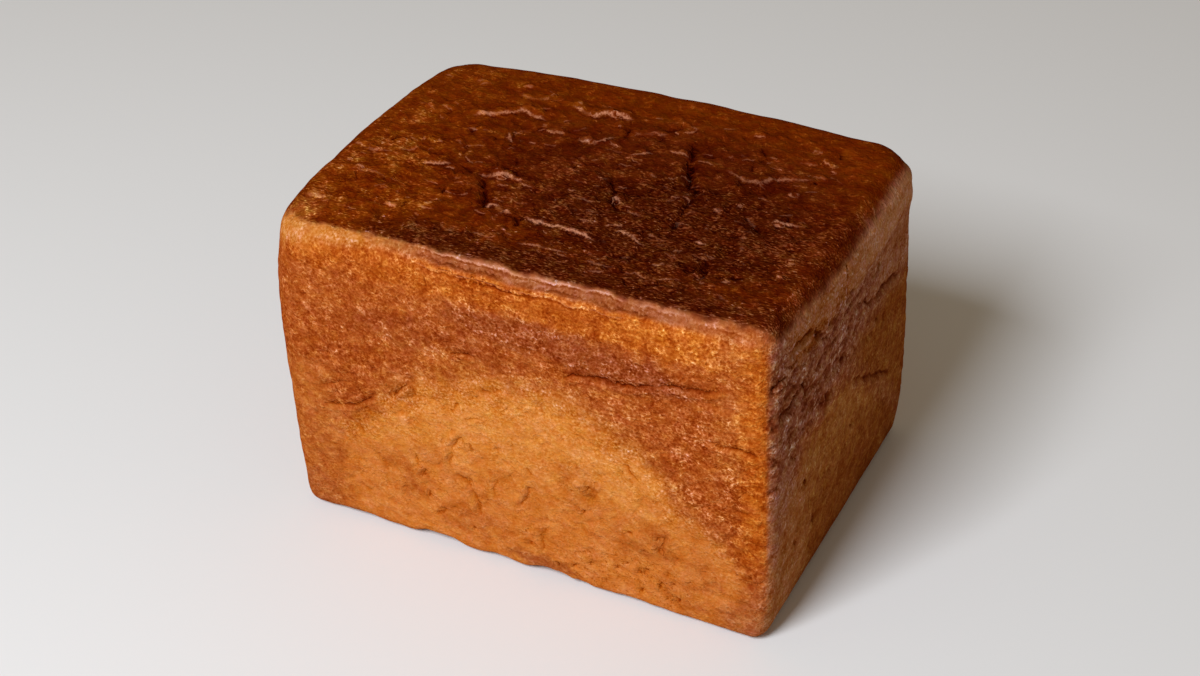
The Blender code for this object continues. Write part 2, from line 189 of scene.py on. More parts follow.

# The front edge of the top, seen square to its slope: half width, height, sheen (strength of the painted
# highlight and shade along it), then points
BROW = (
    (0.65, 0.4, 0.75, ((-34, 0.4), (-14, 0.4), (14, 0.5), (44, 0.6))),
    (0.8, 0.4, 0.4, ((36, 0.5), (56, 0.5), (78, 0.2))),
    (0.7, 0.4, 0.45, ((-38, -4.4), (8, -4.2), (48, -4.5))),
)

# Blisters: wall, place across and up, radius, height, pink sheen (strength of their painted highlight)
BLISTERS = (
    ("front", 23.5, 45, 2.4, 1, 0.5),
    ("front", 23, 43, 6, 0.8, 0),
    ("front", 46, 29, 8, 1, 0),
    ("front", 42, 30.5, 1.8, 0.5, 0.4),
    ("front", -38, 49.6, 3, 0.5, 0.5),
    ("front", -37.5, 81, 4.5, 0.6, 0.1),
    ("front", -64, 34, 1.3, 0.3, 0.6),
    ("front", 16, 33, 1.2, 0.3, 0.4),
    ("top", 13, -9, 3.4, 0.8, 0.6),
    ("top", 5.6, -4.6, 1.8, 0.5, 0.6),
    ("top", -9, -17.5, 3, 0.6, 0.6),
    ("top", 32.5, 10.6, 3, 0.7, 0.9),
    ("top", -38, 16, 5, 0.6, 0),
)

# Small pits low on the front wall: place across and up, height of the pit,
# then half width, depth, lip and darkness of them all, the darkness being painted shade in the pits
PITS = (
    (43, 15, 1.2), (50.5, 12.5, 2.4), (52.5, 7.5, 1.6), (56, 8, 1.2), (55, 14.5, 1), (43, 7, 1.6),
    (31, 7, 1.4), (20, 8, 1.6), (32, 18.5, 1.2), (48, 20, 0.9), (45.5, 25, 1.2), (50, 26.5, 1.4),
    (35, 14, 0.8), (38.5, 17, 0.8), (26, 12, 0.8), (60.5, 17, 0.9), (14, 6, 0.8), (40, 30, 1), (46, 17, 1),
    (4, 13, 1), (4, 18, 1.4), (-16, 12, 1.6), (26, 43.5, 1), (20.5, 41, 1.2), (50, 32, 1), (24, 33, 0.8),
)
PIT = (0.9, 0.6, 0.4, 0.75)

# Uneven lower edge of the front wall: place across, half width, lift
BASE_NOTCHES = (
    (-31, 8, 1.9),
    (-8, 5, 0.9),
    (11, 7, 1.9),
    (22, 3, 0.8),
    (40, 5, 0.6),
    (-62, 9, 0.7),
)
BASE_LIFT = 0.3
NOTCH_DEPTH = (2, 9)
NOTCH_RISE = 12

# Heights between which the relief fades in above the flat base
RELIEF_STARTS = (0.5, 9)

# How squarely a point faces a wall's own way to belong to it a little, and wholly
FACING = (0.55, 0.85)

# How far long and short waves push every wrinkle off its line, and their lengths
WARP, WARP_LENGTH = 0.9, 6
SHORT_WARP, SHORT_WARP_LENGTH = 0.45, 2.2

# Small folds of the top and furrows of the walls that are turned away are drawn at random
SEED = 41
SMALL_FOLDS = 230
SMALL_CRACKS = 60
HIDDEN_COUNT = 26

# Step of the mesh before it is thinned out, and its triangles after that
GRID_STEP = 0.75
MOST_TRIANGLES = 198000

# A drawn line: how far on either side it shows, wholly and at all, and the gap of points that it
# doesn't reach, in half widths, then the share of its length over which each end fades out
LINE_REACH, FAR, END_SHARE = (1.7, 2.6), 9.0, 0.14


def ramp(low, high, value):
    """0 up to the low end, 1 from the high end on, and smooth between them."""
    t = np.clip((value - low) / (high - low), 0, 1)
    return t * t * (3 - 2 * t)


def squeeze(across, up, power):
    """Scale that takes a square edge zone onto a rounded one."""
    largest = np.maximum(across, up)
    length = (across**power + up**power) ** (1 / power)
    inside = (across > 0) & (up > 0)
    return np.where(inside, largest / np.maximum(length, 1e-9), 1.0)


def by_corner(x, y, index):
    """One value of the corner that each point belongs to."""
    values = np.zeros(x.shape)
    for (side_x, side_y), entry in CORNERS.items():
        here = ((x >= 0) == (side_x > 0)) & ((y >= 0) == (side_y > 0))
        values[here] = entry[index]
    return values


def rounded_block(points):
    """Rounds the upright corners and the level edges of the plain block."""
    x, y, z = points.T
    height = z / HEIGHT
    base_radius = by_corner(x, y, 0)
    radius = base_radius + (by_corner(x, y, 1) - base_radius) * height**2
    core_x = np.clip(x, radius - LENGTH / 2, LENGTH / 2 - radius)
    core_y = np.clip(y, radius - DEPTH / 2, DEPTH / 2 - radius)
    out_x, out_y = x - core_x, y - core_y
    reach = np.maximum(np.abs(out_x), np.abs(out_y))
    turn = squeeze(np.abs(out_x), np.abs(out_y), 2)
    out_x, out_y = out_x * turn, out_y * turn
    for edge, up, power, sign, level in (
        (TOP_EDGE, z - (HEIGHT - TOP_EDGE), TOP_EDGE_SHAPE, 1, HEIGHT - TOP_EDGE),
        (BASE_EDGE, BASE_EDGE - z, 2, -1, BASE_EDGE),
    ):
        across = np.maximum(reach - (radius - edge), 0)
        up = np.maximum(up, 0)
        scale = squeeze(across, up, power)
        moved = reach - across + across * scale
        ratio = np.where(reach > 0, moved / np.maximum(reach, 1e-9), 1.0)
        out_x, out_y = out_x * ratio, out_y * ratio
        z = np.where(up > 0, level + sign * up * scale, z)
        reach = moved
    return np.stack([core_x + out_x, core_y + out_y, z], axis=1)


def wall_swell(toward, height, low_wall, high_wall):
    """How far the wall on either side swells out at each height, and how far its middle bows."""
    swell, bow = [], []
    for wall in (low_wall, high_wall):
        lean, middle, belly, fullest = WALLS[wall]
        share = height ** (np.log(0.5) / np.log(fullest))
        swell.append(belly * np.sin(np.pi * share) - lean * (1 - height))
        bow.append(middle * height**2)
    return np.where(toward > 0, swell[1], swell[0]), np.where(toward > 0, bow[1], bow[0])


def settled_block(points):
    """Adds the belly, the lean and bow of each wall, and the drooping corners of the top."""
    x, y, z = points.T.copy()
    height = np.clip(z / HEIGHT, 0, 1)
    u, v = x / (LENGTH / 2), y / (DEPTH / 2)
    swell_x, bow_x = wall_swell(u, height, "left", "right")
    swell_y, bow_y = wall_swell(v, height, "front", "back")
    droop = by_corner(x, y, 2) * u**2 * np.abs(v) ** 3 * height**6
    x += u * swell_x + np.sign(u) * u**4 * (1 - v**2) * bow_x
    y += v * swell_y + np.sign(v) * v**4 * (1 - u**2) * bow_y
    return np.stack([x, y, z - droop], axis=1)


def noise_at(points, length, offset, stretch=(1, 1, 1)):
    """Smooth noise from -1 to 1 whose features have the given length."""
    shift = Vector(offset)
    scaled = points / (length * np.array(stretch, float))
    return np.array([noise.noise(Vector(p) + shift) for p in scaled])


def near_line(u, v, line, reach):
    """Points within reach of a line: which, their signed distance, and the place along it."""
    corners = np.array(line, float)
    low, high = corners.min(axis=0) - reach, corners.max(axis=0) + reach
    index = np.nonzero((u > low[0]) & (u < high[0]) & (v > low[1]) & (v < high[1]))[0]
    u, v = u[index], v[index]
    steps = np.diff(corners, axis=0)
    lengths = np.hypot(steps[:, 0], steps[:, 1])
    starts = np.concatenate([[0], np.cumsum(lengths)])
    nearest, side, along = np.full(u.shape, np.inf), np.ones(u.shape), np.zeros(u.shape)
    for corner, step, length, start in zip(corners, steps, lengths, starts):
        t = ((u - corner[0]) * step[0] + (v - corner[1]) * step[1]) / length**2
        t = np.clip(t, 0, 1)
        gap_u, gap_v = u - corner[0] - t * step[0], v - corner[1] - t * step[1]
        gap = np.hypot(gap_u, gap_v)
        closer = gap < nearest
        nearest = np.where(closer, gap, nearest)
        side = np.where(closer, np.sign(step[0] * gap_v - step[1] * gap_u), side)
        along = np.where(closer, (start + t * length) / starts[-1], along)
    return index, nearest * side, along


def end_fade(along):
    return np.clip(np.minimum(along, 1 - along) / END_SHARE, 0, 1)


def small_folds():
    """Short faint folds all over the top, lying mostly along the loaf, each with a painted highlight."""
    made = []
    for _ in range(SMALL_FOLDS):
        x = random.uniform(-80, 76)
        y = random.uniform(-50, 44)
        length = random.uniform(1.5, 6)
        slope = random.gauss(0, 0.35)
        line = [(x + length * t, y + slope * length * t + random.uniform(-0.6, 0.6)) for t in (0, 0.5, 1)]
        half_width = random.uniform(0.5, 0.8)
        height = random.uniform(0.2, 0.5)
        made.append((half_width, height, random.uniform(0.3, 0.8), line))
    return made


def small_cracks():
    """Short cracks all over the top, lying mostly across the loaf, darkened by painted shade."""
    made = []
    for _ in range(SMALL_CRACKS):
        x = random.uniform(-72, 74)
        y = random.uniform(-52, 44)
        length = random.uniform(1.5, 5)
        slope = random.gauss(0, 0.8)
        line = [(x + slope * length * t, y - length * t) for t in (0, 0.5, 1)]
        half_width = random.uniform(0.8, 1.3)
        depth = random.uniform(0.3, 0.7)
        made.append((half_width, depth, 0.2, random.uniform(0.4, 1.1), line))
    return made


def hidden_furrows(half_length):
    """Random furrows for a wall that is turned away: mostly level, each a few points long."""
    made = []
    for _ in range(HIDDEN_COUNT):
        length = random.uniform(5, 34)
        across = random.uniform(8 - half_length, half_length - 8 - length)
        up = random.uniform(14, 104)
        slope = random.gauss(0, 0.3)
        line = []
        for knot in (0, 0.25, 0.5, 0.75, 1):
            line.append((across + length * knot, up + slope * length * knot + random.uniform(-1.2, 1.2)))
        half_width = random.uniform(1.0, 1.5)
        depth = random.uniform(0.3, 0.8)
        made.append((half_width, depth, 0.3, random.uniform(0.3, 0.9), line))
    return made


class Marks:
    """Signed distance to the nearest drawn line and how strongly it shows, at every point."""

    def __init__(self, count):
        self.gap = np.full(count, FAR)
        self.strength = np.zeros(count)

    def add(self, index, gap, strength):
        near, far = LINE_REACH
        strength = strength * ramp(far, near, np.abs(gap))
        shown = self.strength[index] * np.exp(-np.abs(self.gap[index]))
        better = strength * np.exp(-np.abs(gap)) > shown
        which = index[better]
        self.gap[which] = gap[better]
        self.strength[which] = strength[better]


class Crust:
    """The relief and the local marks of the crust at every point of the block, in mm."""

    def __init__(self, points, normals):
        self.points = points
        self.normals = normals
        self.relief = np.zeros(len(points))
        # Painted shading: darkening painted into the tone in hollows and creases, and lightening painted on
        # raised crests where it is negative
        self.painted_shading = np.zeros(len(points))
        self.crack_shading = Marks(len(points))
        self.sheen = Marks(len(points))
        self.warp = [
            WARP * noise_at(points, WARP_LENGTH, seed)
            + SHORT_WARP * noise_at(points, SHORT_WARP_LENGTH, seed)
            for seed in ((3.1, 8.2, 0.4), (9.4, 1.7, 6.6))
        ]
        self.broken = ramp(-0.55, 0.1, noise_at(points, 4.5, (2.2, 7.1, 5.3)))
        self.grit = noise_at(points, 1.7, (5.2, 1.9, 7.4))
        self.views = self.wall_views(normals)
        x, y, _ = points.T
        self.inward = np.minimum(LENGTH / 2 - np.abs(x), DEPTH / 2 - np.abs(y))
        self.inner = self.views["top"][0] * ramp(3, 12, self.inward)

    def wall_views(self, normals):
        """For each wall: how far each point faces it, and its warped place across and up."""
        x, y, z = self.points.T
        toward_x, toward_y, toward_z = normals.T
        slope = (y + DEPTH / 2 + z - HEIGHT) * math.sqrt(0.5)
        walls = {
            "front": (-toward_y, x, z),
            "back": (toward_y, -x, z),
            "left": (-toward_x, -y, z),
            "right": (toward_x, y, z),
            "top": (toward_z, x, y),
            "brow": ((toward_z - toward_y) * math.sqrt(0.5), x, slope),
        }
        views = {}
        for wall, (facing, across, up) in walls.items():
            views[wall] = (ramp(*FACING, facing), across + self.warp[0], up + self.warp[1])
        return views

    def furrow(self, wall, half_width, depth, lip, line_shading, line):
        full, u, v = self.views[wall]
        index, gap, along = near_line(u, v, line, 4 * half_width + 1)
        fade = end_fade(along) * full[index] * (0.4 + 0.6 * self.broken[index])
        gap = gap / half_width
        self.relief[index] += fade * (lip * np.exp(-((gap + 1.7) ** 2)) - depth * np.exp(-(gap**2)))
        # The crack shading paints shade along the furrow and a highlight on its lip
        self.crack_shading.add(index, gap, line_shading * fade)

    def fold(self, wall, half_width, height, sheen, line):
        """A ridge that is steep on its front side and runs out gently behind, with a sunken foot; its sheen
        mark paints a highlight on the crest and shade at the foot.
        """
        full, u, v = self.views[wall]
        index, gap, along = near_line(u, v, line, 4 * half_width + 1)
        fade = end_fade(along) * full[index] * (0.35 + 0.65 * self.broken[index])
        width = half_width * (0.55 + 0.55 * np.sin(np.pi * along) + 0.6 * np.abs(self.grit[index]))
        side = np.where(gap < 0, 0.8, 2.0) * width
        crest = np.exp(-((gap / side) ** 2))
        foot = np.exp(-((gap / width + 1.6) ** 2) * 1.5)
        self.relief[index] += fade * height * (crest - 0.4 * foot)
        self.sheen.add(index, gap / width, sheen * fade)

    def blister(self, wall, across, up, radius, height, sheen):
        full, u, v = self.views[wall]
        gap = np.hypot(u - across, v - up) / radius
        self.relief += height * full * np.exp(-((1.6 * gap) ** 4))
        # Painted shade in a ring round the blister's edge, and a painted highlight on it by its sheen
        self.painted_shading -= 0.12 * height * full * np.exp(-((4 * (gap - 0.75)) ** 2))
        index = np.nonzero(gap < 2)[0]
        self.sheen.add(index, 1.6 * gap[index], sheen * full[index])

    def press(self, weight, deep, depth, painted_shading):
        """Pushes the crust in by a share of the depth, and paints shade into it; a negative share raises it
        and paints light on it.
        """
        self.relief -= depth * weight * deep
        self.painted_shading -= painted_shading * weight * deep

    def dents(self, weight, length, seed, stretch, limits, depth, painted_shading):
        """Presses in the places where a noise is high, with painted shade in them."""
        deep = ramp(*limits, noise_at(self.points, length, seed, stretch))
        self.press(weight, deep, depth, painted_shading)

    def creases(self, weight, length, seed, stretch, width, depth, painted_shading):
        """Presses in broken lines, where a noise passes through 0, and paints shade into them."""
        deep = ramp(*width, np.abs(noise_at(self.points, length, seed, stretch)))
        self.press(weight * self.broken, deep, depth, painted_shading)

    def right_hollows(self):
        """Dents and creases high on the right wall and fainter dents below, all with painted shade, and a
        painted contact shadow along the foot and in a patch low on the wall.
        """
        full, u, v = self.views["right"]
        high = full * ramp(58, 76, v) * ramp(105, 98, v) * ramp(24, -10, u)
        self.dents(high, 2.7, (3.3, 0.2, 9.1), (1, 2.2, 1), (0.16, 0.5), 0.5, 0.9)
        self.creases(high, 5.5, (2.3, 5.2, 0.1), (1, 1.7, 1), (0.11, 0.02), 0.6, 1.0)
        rest = full * (1 - high) * ramp(102, 96, v)
        self.dents(rest, 4.5, (6.3, 3.2, 1.1), (1, 1.8, 1), (0.18, 0.5), 0.3, 0.22)
        # Painted contact shadow along the foot of the right wall and in a patch low on it
        foot = np.maximum(ramp(8, 2, self.points[:, 2]), 0.8 * patch(u, v, 24, 4, 9, 9))
        self.painted_shading -= 0.5 * full * foot

    def top_hollows(self):
        """Hollows and creases between the top's folds with painted shade in them, and soft ridges all over
        it with painted light on their crests.
        """
        full, u, v = self.views["top"]
        middle = full * ramp(74, 50, np.abs(u)) * ramp(-50, -40, v) * ramp(40, 28, v)
        self.dents(middle, 5.5, (8.1, 5.5, 2.4), (1.6, 1, 1), (0.12, 0.5), 0.5, 0.36)
        self.creases(middle, 8, (1.3, 8.2, 4.1), (1.5, 1, 1), (0.07, 0.01), 0.35, 0.55)
        for seed, length in ((2.7, 7.5), (6.4, 5.0)):
            self.creases(self.inner, length, (seed, 3.3, 0.8), (1.9, 1, 1), (0.13, 0.0), -0.5, -0.25)

    def front_hollows(self):
        """Faint creases low on the front wall, and level wrinkles beside its right edge, both with painted
        shade.
        """
        full, u, v = self.views["front"]
        lower = full * ramp(84, 66, v)
        for seed, length in ((4.9, 11), (7.7, 6)):
            self.creases(lower, length, (seed, 0.6, 2.2), (1, 1, 0.8), (0.08, 0.0), 0.5, 0.14)
        edge = full * ramp(72, 80, u) * ramp(14, 30, v)
        self.dents(edge, 1.9, (1.1, 6.5, 3.4), (2.6, 2.6, 1), (-0.1, 0.4), 0.25, 0.45)

    def rim_and_fold(self):
        """The raised rim round the top, and the band below it that the tin's lid pressed out."""
        _, y, z = self.points.T
        self.relief += self.views["top"][0] * RIM_HEIGHT * np.exp(-((self.inward / RIM_WIDTH - 1) ** 2))
        low, full, fade, end = FOLD_BAND
        band = ramp(low, full, z + 1.7 * self.warp[1]) * (1 - ramp(fade, end, z))
        walls = self.views["right"][0] * ramp(*FOLD_STARTS, y) + self.views["back"][0]
        self.relief += FOLD_HEIGHT * band * walls

    def skin(self):
        """Waves of the dough and of its skin, with level wrinkles beside the upright front edge."""
        points = self.points
        x, _, z = points.T
        for index, (length, height) in enumerate(WAVES):
            self.relief += height * noise_at(points, length, (index * 7.3, 2.1, 5.9))
        rougher = 1 + 1.9 * self.inner + 0.9 * self.views["right"][0] + 0.5 * self.views["front"][0]
        for index, (length, height) in enumerate(SKIN_WAVES):
            wave = noise_at(points, length, (index * 5.1, 6.2, 1.9), (1.8, 1.3, 1))
            self.relief += height * rougher * wave
        beside_edge = self.views["front"][0] * ramp(50, 72, x) * ramp(10, 30, z)
        self.relief += 0.16 * beside_edge * noise_at(points, 2.1, (4, 4, 4), (3, 3, 1))

    def shape(self):
        random.seed(SEED)
        self.skin()
        self.right_hollows()
        self.top_hollows()
        self.front_hollows()
        self.rim_and_fold()
        left, back = hidden_furrows(DEPTH / 2), hidden_furrows(LENGTH / 2)
        furrows = {
            "front": FRONT_FURROWS,
            "right": RIGHT_FURROWS,
            "brow": BROW_FURROWS,
            "top": (*TOP_FURROWS, *small_cracks()),
            "left": left,
            "back": back,
        }
        for wall, entries in furrows.items():
            for entry in entries:
                self.furrow(wall, *entry)
        for across, up, height in PITS:
            line = ((across - 0.15 * height, up + 0.5 * height + 0.4), (across, up - 0.5 * height - 0.4))
            self.furrow("front", *PIT, line)
        for entry in (*FOLDS, *small_folds()):
            self.fold("top", *entry)
        for entry in BROW:
            self.fold("brow", *entry)
        for entry in BLISTERS:
            self.blister(*entry)

    def base_lift(self):
        """Lift of the front wall's lower edge, where the crust stands clear of the table."""
        x, y, z = self.points.T
        full, end = NOTCH_DEPTH
        near = (1 - ramp(full, end, y + DEPTH / 2)) * (1 - ramp(0, NOTCH_RISE, z))
        lift = BASE_LIFT * (1 + self.warp[0] / WARP)
        for across, half_width, height in BASE_NOTCHES:
            lift = lift + height * np.exp(-(((x - across) / half_width) ** 4))
        return near * lift


# Tones of the crust, as linear red, green, blue
TONES = {
    "golden": (0.598, 0.208, 0.042),
    "honey": (0.548, 0.166, 0.031),
    "ginger": (0.390, 0.094, 0.015),
    "saffron": (0.440, 0.101, 0.0105),
    "amber": (0.368, 0.074, 0.0075),
    "copper": (0.328, 0.065, 0.0095),
    "russet": (0.330, 0.085, 0.024),
    "brick": (0.250, 0.047, 0.0095),
    "cream": (0.530, 0.190, 0.044),
    # Cinnamon also carries part of the painted highlight along the top's front edge
    "cinnamon_with_highlight": (0.315, 0.092, 0.033),
    "henna": (0.150, 0.0215, 0.0009),
    "chestnut": (0.129, 0.0168, 0.0006),
    "umber": (0.084, 0.0101, 0.0010),
    "bistre": (0.061, 0.0073, 0.0008),
    "tawny": (0.240, 0.052, 0.006),
    # The right wall's tones below are set darker than in full light, painting in the shade that wall stands
    # in; mauve, sand and fawn also carry a painted grazing sheen in their blue
    "shaded_mauve_sheen": (0.288, 0.091, 0.041),
    "shaded_olive": (0.342, 0.112, 0.024),
    "shaded_clay": (0.250, 0.065, 0.0115),
    "shaded_sand_sheen": (0.400, 0.148, 0.060),
    "shaded_fawn_sheen": (0.475, 0.203, 0.096),
}

# Height of the pale arch on each wall at places across it
ARCHES = {
    "front": (
        (-82, 20), (-70, 38), (-55, 48), (-35, 64), (-15, 71), (5, 76),
        (25, 75), (35, 69), (45, 62), (62, 43), (74, 30), (82, 12),
    ),
    "right": ((-60, 30), (-48, 52), (-37, 66), (-7, 67), (8, 58), (22, 46), (37, 32), (58, 12)),
    "back": ((-82, 14), (-62, 40), (-30, 66), (0, 74), (26, 70), (52, 48), (82, 20)),
    "left": ((-58, 12), (-36, 48), (-10, 68), (16, 66), (40, 40), (58, 16)),
}

# Redder places low on the front wall: place across and up, half sizes
REDDER = ((23, 42, 8, 8), (46, 28, 11, 9), (-40, 26, 9, 7), (-12, 14, 16, 7), (66, 14, 14, 12))


def patch(u, v, across, up, radius_u, radius_v):
    """1 inside an ellipse, fading to 0 just outside it."""
    return ramp(1.35, 0.65, np.hypot((u - across) / radius_u, (v - up) / radius_v))


class Paint:
    """The mean tone of the crust, and how strongly its blots and its grain show, at every point."""

    def __init__(self, count):
        self.tone = np.zeros((count, 3))
        self.blot = np.zeros(count)
        self.grain = np.zeros(count)

    def layer(self, weight, tone, blot, grain):
        self.tone += (np.array(TONES[tone]) - self.tone) * weight[:, None]
        self.blot += (blot - self.blot) * weight
        self.grain += (grain - self.grain) * weight


def paint_arches(paint, crust, wander):
    for wall, line in ARCHES.items():
        full, u, v = crust.views[wall]
        u, v = u + wander[0], v + wander[1]
        depth = np.interp(u, *np.array(line, float).T) - v
        inside = full * ramp(-10, 11, depth)
        low = inside * (1 - ramp(28, 50, v))
        if wall == "right":
            # The right wall's arch tones are darkened to paint its shade
            paint.layer(inside, "shaded_olive", 0.95, 0.6)
            paint.layer(low * ramp(-38, -22, u), "shaded_clay", 0.85, 0.5)
        else:
            share = 1 if wall == "front" else 0.75
            paint.layer(share * inside, "golden", 0.5, 0.7)
            paint.layer(share * full * ramp(0, 16, depth), "golden", 0.5, 0.3)
            paint.layer(low, "honey", 0.6, 0.22)


def paint_front(paint, crust, wander):
    full, u, v = crust.views["front"]
    u, v = u + 0.6 * wander[0], v + 0.6 * wander[1]
    paint.layer(full * ramp(98, 103, v), "amber", 0.9, 0.9)
    paint.layer(full * ramp(99, 104, v) * ramp(28, 48, u), "saffron", 0.8, 1.0)
    paint.layer(full * ramp(102, 107, v) * ramp(-58, -66, u), "saffron", 0.8, 0.7)
    paint.layer(full * patch(u, v, 40, 90.5, 22, 6), "brick", 0.9, 1.2)
    paint.layer(0.85 * full * patch(u, v, 10, 94.5, 32, 6), "brick", 0.9, 1.1)
    paint.layer(0.5 * full * patch(u, v, -30, 84, 30, 6), "brick", 1.0, 0.9)
    paint.layer(0.6 * full * patch(u, v, -20, 79, 16, 4), "ginger", 0.8, 0.9)
    beside_edge = full * ramp(48, 66, u) * ramp(30, 56, v) * ramp(88, 76, v)
    paint.layer(beside_edge, "copper", 0.8, 1.2)
    paint.layer(0.8 * full * ramp(62, 76, u) * ramp(54, 72, v), "ginger", 0.9, 0.9)
    paint.layer(full * ramp(74, 82, u) * ramp(22, 40, v), "saffron", 0.7, 0.8)
    paint.layer(full * ramp(-60, -70, u) * ramp(66, 56, v), "ginger", 0.7, 0.5)
    mottled = ramp(-0.15, 0.35, noise_at(crust.points, 6.5, (5.5, 1.4, 3.6)))
    lower = full * ramp(56, 36, v)
    paint.layer(0.22 * lower * mottled, "ginger", 0.6, 0.3)
    for place in REDDER:
        paint.layer(full * patch(u, v, *place) * (0.25 + 0.4 * mottled), "ginger", 0.8, 0.4)
    paint.layer(full * ramp(64, 84, u - 0.5 * v), "russet", 0.7, 0.6)
    paint.layer(0.7 * full * patch(u, v, -82, 4, 14, 12), "russet", 0.7, 0.5)
    paint.layer(0.5 * full * ramp(-56, -72, u) * ramp(52, 40, v), "ginger", 0.8, 0.5)
    paint.layer(0.5 * full * patch(u, v, 84, 6, 12, 12), "russet", 0.7, 0.5)
    paint.layer(0.7 * full * patch(u, v, 8, 5, 12, 3), "brick", 0.7, 0.5)
    paint.layer(0.5 * full * ramp(4, 1.5, v) * ramp(-30, -44, u), "brick", 0.7, 0.5)


def paint_right(paint, crust, wander):
    # The right wall's tones paint its shade, and the bluish ones a painted grazing sheen
    full, u, v = crust.views["right"]
    u, v = u + 0.6 * wander[0], v + 0.6 * wander[1]
    arch = np.interp(u, *np.array(ARCHES["right"], float).T)
    above = full * ramp(-9, 8, v - arch)
    paint.layer(above, "shaded_mauve_sheen", 1.25, 0.95)
    paint.layer(above * ramp(-14, 12, u) * ramp(84, 68, v), "shaded_clay", 0.9, 0.6)
    paint.layer(0.5 * above * ramp(5, 30, u) * ramp(74, 84, v), "shaded_sand_sheen", 0.75, 0.45)
    paint.layer(0.45 * full * ramp(-26, -44, u) * ramp(72, 52, v), "shaded_sand_sheen", 0.8, 0.6)
    lip = full * ramp(95, 101, v - 0.06 * u) * ramp(-54, -44, u)
    paint.layer(lip, "shaded_sand_sheen", 0.9, 0.8)
    paint.layer(lip * ramp(-12, 20, u), "shaded_fawn_sheen", 0.6, 0.45)


def paint_top(paint, crust, wander):
    x, y, _ = crust.points.T
    toward_front = ramp(0.15, 0.55, -crust.normals[:, 1])
    toward_left = ramp(-25, -65, x)
    limit = 0.55 + toward_front * (0.27 + 0.08 * toward_left)
    limit -= 0.08 * ramp(-56, -74, x) * ramp(-28, -46, y)
    toward_right = ramp(0.15, 0.55, crust.normals[:, 0])
    limit -= 0.06 * toward_right
    low, high = -0.07 - 0.15 * toward_right, 0.13 + 0.15 * toward_right
    smooth = np.maximum(0.6 * toward_right, 0.5 * toward_front * ramp(-44, -24, x))
    ragged = 0.08 * crust.warp[1] + 0.14 * crust.grit * (1 - smooth)
    top = ramp(low, high, crust.normals[:, 2] - limit + ragged)
    _, u, v = crust.views["top"]
    u, v = u + wander[0], v + wander[1]
    paint.layer(top, "chestnut", 1.0, 0.33)
    paint.layer(top * ramp(-36, -66, u), "henna", 1.0, 0.55)
    paint.layer(0.4 * top * patch(u, v, -76, -14, 14, 12), "chestnut", 0.8, 0.55)
    paint.layer(top * patch(u, v, 26, -4, 62, 42), "umber", 1.0, 0.6)
    paint.layer(top * patch(u, v, 36, -18, 42, 28), "bistre", 0.6, 1.1)
    paint.layer(top * ramp(-42, -50, v) * ramp(-60, -36, u), "bistre", 0.6, 1.0)
    paint.layer(0.8 * top * patch(u, v, -80, -53, 10, 9), "tawny", 0.7, 0.5)
    paint.layer(0.5 * top * ramp(66, 74, u) * ramp(24, 0, v), "umber", 1.0, 0.9)
    paint.grain *= 1 + 0.7 * top * ramp(25, -20, y)
    border = 1 - 2.4 * top * (1 - top)
    paint.grain *= border
    paint.blot *= border * (1 - 0.4 * top * ramp(8, 38, y))
    return top


def paint_brow(paint, crust, top):
    full, across, up = crust.views["brow"]
    brow = full * (1 - top)
    from_left = ramp(-46, -16, across)
    to_right = ramp(84, 50, across)
    low = np.interp(across, (-80, -60, -38), (-8, -5, -1.5))
    paint.layer(brow * (1 - from_left) * ramp(low - 1.5, low + 3, up), "cream", 0.55, 0.55)
    # Cinnamon band along the top's front edge, which also carries part of the painted highlight there
    paint.layer(brow * from_left * to_right * ramp(-4.0, -2.2, up), "cinnamon_with_highlight", 0.7, 0.5)
    paint.layer(0.6 * brow * (1 - to_right) * ramp(-5, -2, up), "russet", 0.7, 0.5)


def painted(crust):
    """The paint of the whole crust, and how far each point belongs to the dark top."""
    points = crust.points
    wander = [
        3.5 * noise_at(points, 14, (k * 3.7, 1.1, 8.8))
        + 4.0 * noise_at(points, 5, (k * 1.3, 4.4, 2.6))
        + 3.5 * noise_at(points, 2.4, (k * 2.9, 0.7, 6.1))
        for k in (1, 2)
    ]
    paint = Paint(len(points))
    paint.layer(np.ones(len(points)), "copper", 1.0, 0.8)
    paint_arches(paint, crust, wander)
    paint_front(paint, crust, wander)
    paint_right(paint, crust, wander)
    top = paint_top(paint, crust, wander)
    paint_brow(paint, crust, top)
    return paint, top


def subdivided_block():
    """A box whose edges are cut into equal steps along each axis."""
    mesh = bpy.data.meshes.new(PIECE)
    bm = bmesh.new()
    bmesh.ops.create_cube(bm, size=1.0)
    bmesh.ops.scale(bm, vec=(LENGTH, DEPTH, HEIGHT), verts=bm.verts)
    bmesh.ops.translate(bm, vec=(0, 0, HEIGHT / 2), verts=bm.verts)
    for axis, size in enumerate((LENGTH, DEPTH, HEIGHT)):
        along = [e for e in bm.edges if abs((e.verts[0].co - e.verts[1].co)[axis]) > size / 2]
        cuts = round(size / GRID_STEP) - 1
        bmesh.ops.subdivide_edges(bm, edges=along, cuts=cuts, use_grid_fill=True)
    bm.to_mesh(mesh)
    bm.free()
    return mesh


def positions(mesh):
    points = np.empty(len(mesh.vertices) * 3, np.float32)
    mesh.vertices.foreach_get("co", points)
    return points.reshape(-1, 3).astype(np.float64)


def point_normals(mesh):
    normals = np.empty(len(mesh.vertices) * 3, np.float32)
    mesh.vertex_normals.foreach_get("vector", normals)
    return normals.reshape(-1, 3)


def move_to(mesh, points):
    mesh.vertices.foreach_set("co", points.astype(np.float32).ravel())
    mesh.update()


